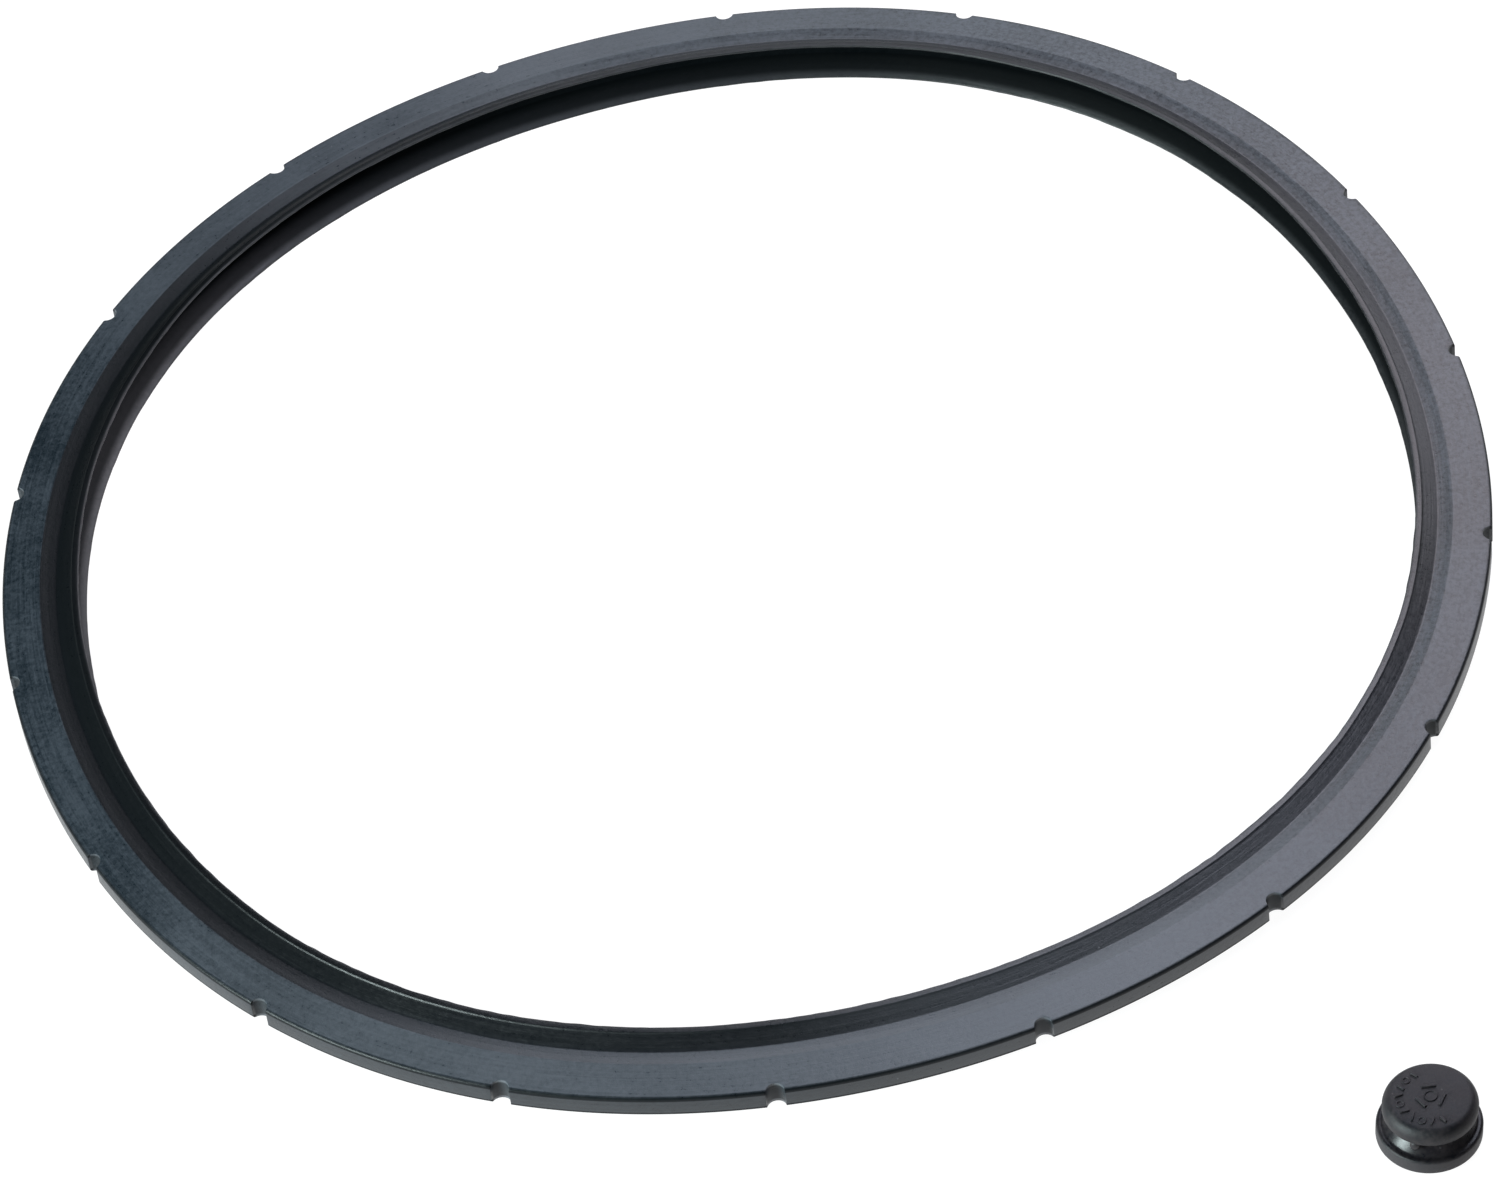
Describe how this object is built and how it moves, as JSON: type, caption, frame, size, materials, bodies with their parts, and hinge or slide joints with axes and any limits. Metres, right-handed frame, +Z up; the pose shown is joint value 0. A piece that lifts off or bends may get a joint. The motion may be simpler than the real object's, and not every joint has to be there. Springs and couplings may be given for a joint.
{
  "type": "pressure cooker sealing ring",
  "caption": "Notched rubber sealing ring with inward-facing lips for a pressure cooker's cover, with the small waisted rubber overpressure plug that goes with it.",
  "frame": {"origin": "middle of the set's footprint on the surface it lies on; the ring's own centre is at y = +16.25 mm", "axes": "+Z up, along the ring's and the plug's own axes; +Y from the loose plug's side towards the back of the ring"},
  "size_m": [0.29, 0.3225, 0.0101],
  "materials": {
    "ring_rubber": "satin moulded",
    "plug_rubber": "matte moulded"
  },
  "bodies": {
    "ring": {"sealing_ring": "ring_rubber"},
    "plug": {"overpressure_plug": "plug_rubber"}
  },
  "joints": [
    {"name": "plug_lift", "type": "slide", "parent": "ring", "child": "plug", "axis": [0, 0, 1], "range_m": [0, 0.08]}
  ]
}
